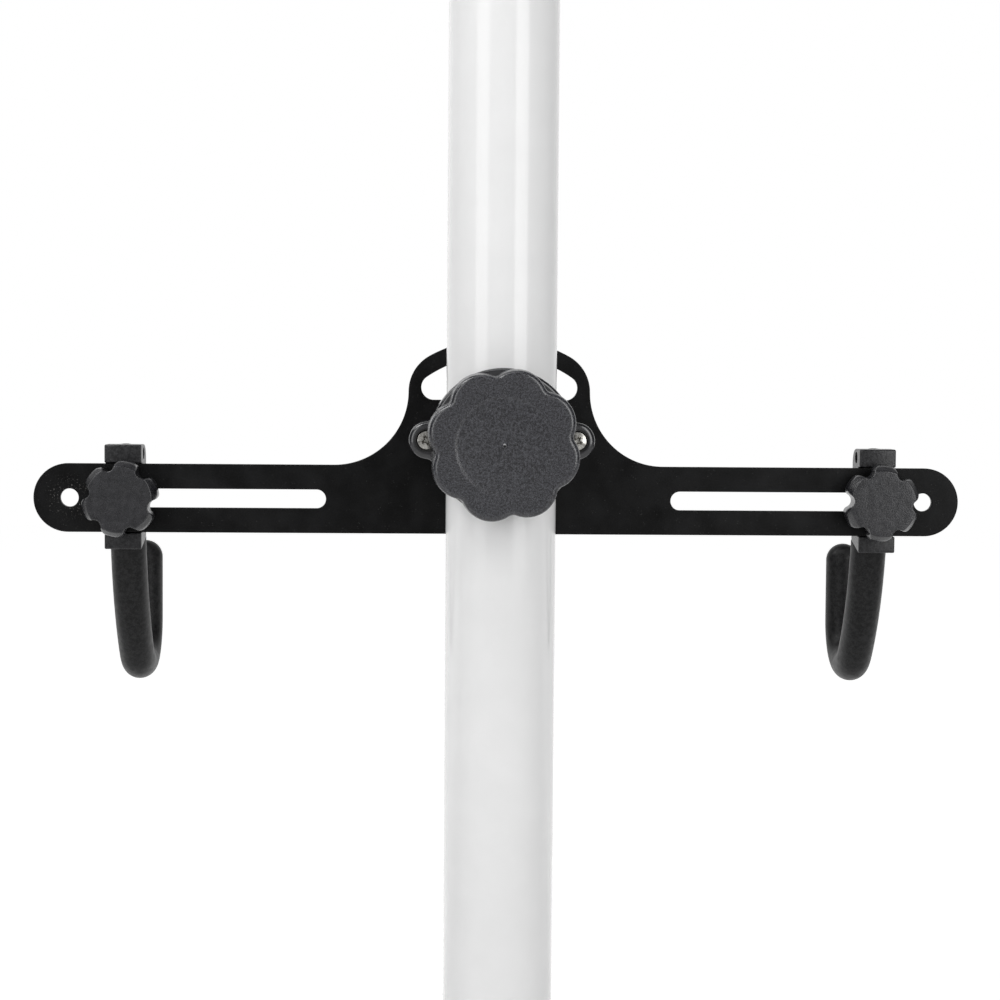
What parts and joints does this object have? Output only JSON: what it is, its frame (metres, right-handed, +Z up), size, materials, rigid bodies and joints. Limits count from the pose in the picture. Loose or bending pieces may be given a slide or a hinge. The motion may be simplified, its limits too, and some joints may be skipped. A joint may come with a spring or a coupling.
{
  "type": "bicycle rack cradle on a pole section",
  "caption": "Storage-pole section with a clamp-on cradle: a flat slotted arm carries sliding J-hooks that hold a bicycle by its top tube.",
  "frame": {"origin": "centre of the pole's lower end, on the pole's axis", "axes": "+Z up along the pole, +X along the arm plate to the right of someone who faces the big knob, +Y from the knobs to the hooks"},
  "size_m": [0.433, 0.1726, 0.705],
  "materials": {
    "white_powder_coat": "glossy white powder coat",
    "black_powder_coat": "satin black powder coat",
    "grained_dark_plastic": "fine-grained charcoal moulding",
    "natural_liner_plastic": "natural nylon",
    "coated_casting": "fine-textured charcoal coat",
    "soft_coat": "matt soft coating",
    "zinc_plated_steel": "bright zinc plate",
    "black_steel": "black oxide",
    "brass": "machined"
  },
  "bodies": {
    "pole": {"pole_tube": "white_powder_coat"},
    "liner": {"clamp_liner": "natural_liner_plastic"},
    "cradle": {"clamp_body": "grained_dark_plastic", "clamp_saddle": "grained_dark_plastic", "arm_plate": "black_powder_coat", "knob_insert": "brass", "clamp_screw_left": "zinc_plated_steel", "clamp_washer_left": "zinc_plated_steel", "clamp_nut_left": "zinc_plated_steel", "clamp_screw_right": "zinc_plated_steel", "clamp_washer_right": "zinc_plated_steel", "clamp_nut_right": "zinc_plated_steel"},
    "pad": {"pressure_pad": "soft_coat"},
    "big_knob": {"clamp_knob": "grained_dark_plastic", "clamp_stud": "zinc_plated_steel"},
    "hook_left": {"hook_carrier_left": "coated_casting", "hook_rod_left": "black_steel", "hook_sleeve_left": "soft_coat", "hook_pin_left": "black_steel", "hook_nut_left": "zinc_plated_steel"},
    "washer_left": {"hook_washer_left": "zinc_plated_steel"},
    "small_knob_left": {"hook_knob_left": "grained_dark_plastic", "hook_stud_left": "zinc_plated_steel"},
    "hook_right": {"hook_carrier_right": "coated_casting", "hook_rod_right": "black_steel", "hook_sleeve_right": "soft_coat", "hook_pin_right": "black_steel", "hook_nut_right": "zinc_plated_steel"},
    "washer_right": {"hook_washer_right": "zinc_plated_steel"},
    "small_knob_right": {"hook_knob_right": "grained_dark_plastic", "hook_stud_right": "zinc_plated_steel"}
  },
  "joints": [
    {"name": "clamp_height", "type": "slide", "parent": "pole", "child": "liner", "axis": [0, 0, 1], "range_m": [-0.315, 0.26]},
    {"name": "clamp_swivel", "type": "hinge", "parent": "liner", "child": "cradle", "pos_m": [0, 0, 0.3589], "axis": [0, 0, 1], "continuous": true},
    {"name": "pad_travel", "type": "slide", "parent": "cradle", "child": "pad", "axis": [0, -1, 0], "range_m": [0, 0.003]},
    {"name": "clamp_knob_turn", "type": "hinge", "parent": "pad", "child": "big_knob", "pos_m": [0, 0, 0.3576], "axis": [0, -1, 0], "range_deg": [0, 720]},
    {"name": "hook_slide_left", "type": "slide", "parent": "cradle", "child": "hook_left", "axis": [1, 0, 0], "range_m": [-0.0045, 0.089]},
    {"name": "hook_knob_travel_left", "type": "slide", "parent": "hook_left", "child": "washer_left", "axis": [0, -1, 0], "range_m": [0, 0.00126]},
    {"name": "hook_knob_turn_left", "type": "hinge", "parent": "washer_left", "child": "small_knob_left", "pos_m": [-0.175, 0, 0.33], "axis": [0, -1, 0], "range_deg": [0, 360]},
    {"name": "hook_slide_right", "type": "slide", "parent": "cradle", "child": "hook_right", "axis": [1, 0, 0], "range_m": [-0.0926, 0.0014]},
    {"name": "hook_knob_travel_right", "type": "slide", "parent": "hook_right", "child": "washer_right", "axis": [0, -1, 0], "range_m": [0, 0.00126]},
    {"name": "hook_knob_turn_right", "type": "hinge", "parent": "washer_right", "child": "small_knob_right", "pos_m": [0.1782, 0, 0.33], "axis": [0, -1, 0], "range_deg": [0, 360]}
  ],
  "couplings": [
    {"joint": "pad_travel", "follows": "clamp_knob_turn", "m_per_rad": 0.0002387},
    {"joint": "hook_knob_travel_left", "follows": "hook_knob_turn_left", "m_per_rad": 0.00019894},
    {"joint": "hook_knob_travel_right", "follows": "hook_knob_turn_right", "m_per_rad": 0.00019894}
  ]
}
